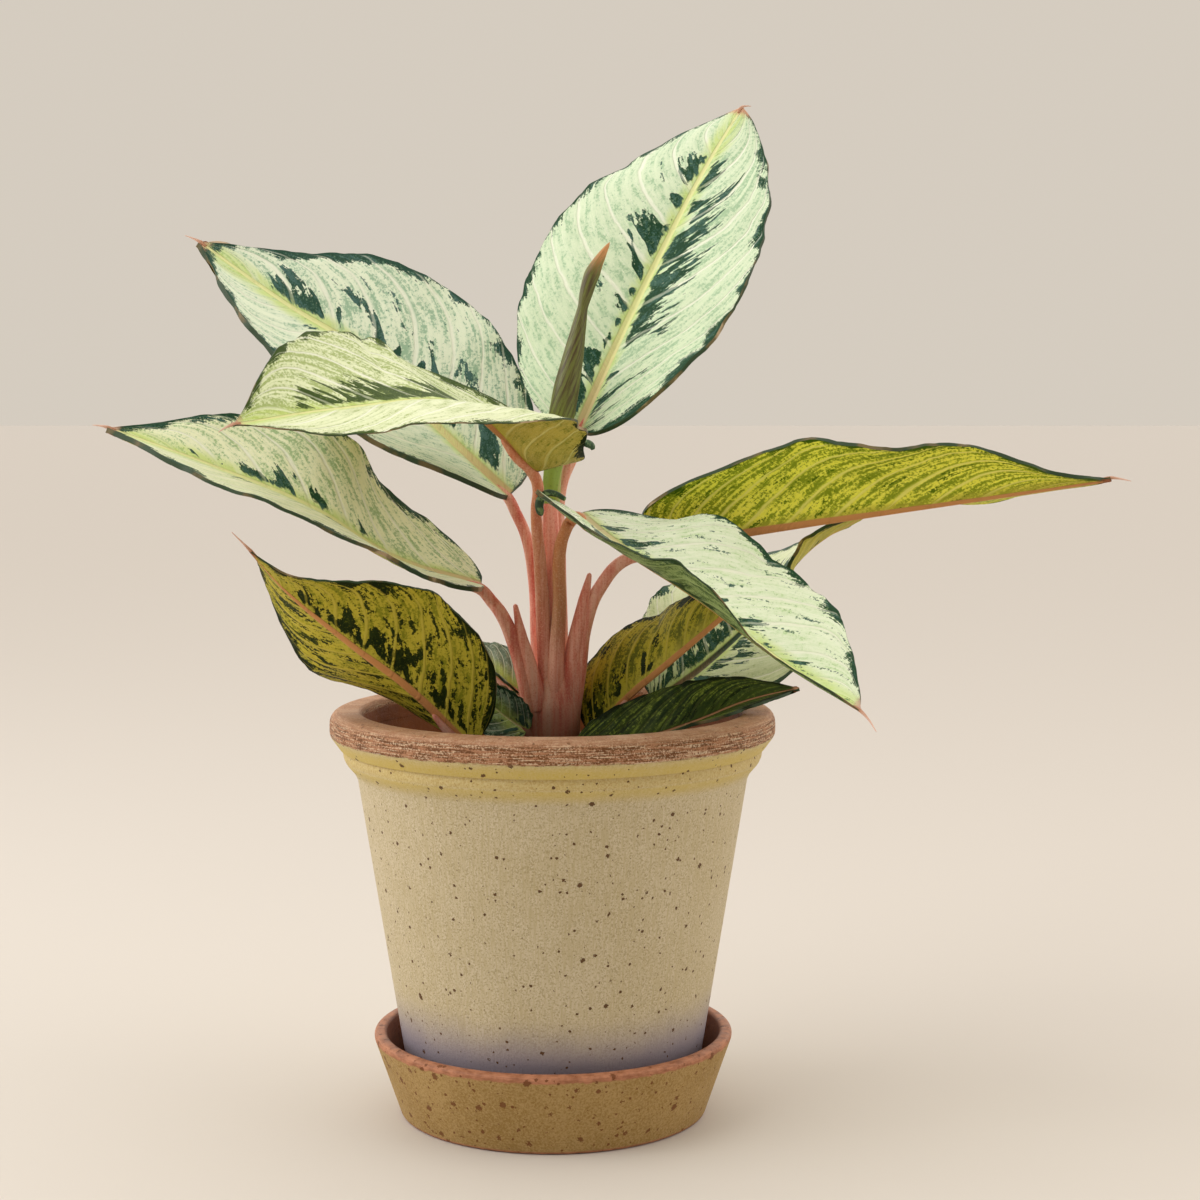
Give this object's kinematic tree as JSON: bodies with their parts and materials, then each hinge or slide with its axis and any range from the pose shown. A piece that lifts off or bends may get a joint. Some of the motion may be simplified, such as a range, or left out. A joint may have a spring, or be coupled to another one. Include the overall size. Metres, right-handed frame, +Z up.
{
  "type": "potted chinese evergreen",
  "caption": "Potted foliage plant with broad pale leaves on pink stalks, in a glazed clay pot with a rolled rim, standing in its clay saucer.",
  "frame": {"origin": "centre of the saucer's flat foot, on the surface it stands on", "axes": "+Z up along the pot's axis; -Y towards the side that the leaves are arranged for; +X to the right as seen from that side"},
  "size_m": [0.3448, 0.1816, 0.3662],
  "materials": {
    "saucer": "speckled matte glaze, bare clay lip and inside",
    "pot": "cream matte glaze with brown speckles, worn bare clay on the rim",
    "soil": "dark, crumbly",
    "stem": "waxy, pink with darker streaks",
    "leaf_top_right": "waxy, pale green with dark blotches",
    "leaf_upper_left": "waxy, pale green with dark blotches",
    "leaf_mid_left": "waxy, pale green with dark blotches",
    "leaf_low_left": "waxy, pale green with dark blotches",
    "leaf_left_rim": "waxy, yellow-olive underside with dark blotches",
    "leaf_right": "waxy, yellow-olive underside with dark blotches",
    "leaf_front_right": "waxy, very pale green",
    "leaf_right_rim": "waxy, yellow-olive underside with dark blotches",
    "leaf_back_right": "waxy, pale green with dark blotches",
    "leaf_dark_rim": "waxy, dark green with a pinkish midrib",
    "leaf_small_back": "waxy, grey-green",
    "leaf_small_low": "waxy, mint with dark specks",
    "leaf_spear": "waxy, dark olive with an orange tip"
  },
  "bodies": {
    "root": {"saucer": "saucer", "pot": "pot", "soil": "soil", "stem": "stem", "leaf_top_right": "leaf_top_right", "leaf_upper_left": "leaf_upper_left", "leaf_mid_left": "leaf_mid_left", "leaf_low_left": "leaf_low_left", "leaf_left_rim": "leaf_left_rim", "leaf_right": "leaf_right", "leaf_front_right": "leaf_front_right", "leaf_right_rim": "leaf_right_rim", "leaf_back_right": "leaf_back_right", "leaf_dark_rim": "leaf_dark_rim", "leaf_small_back": "leaf_small_back", "leaf_small_low": "leaf_small_low", "leaf_spear": "leaf_spear"}
  },
  "joints": []
}
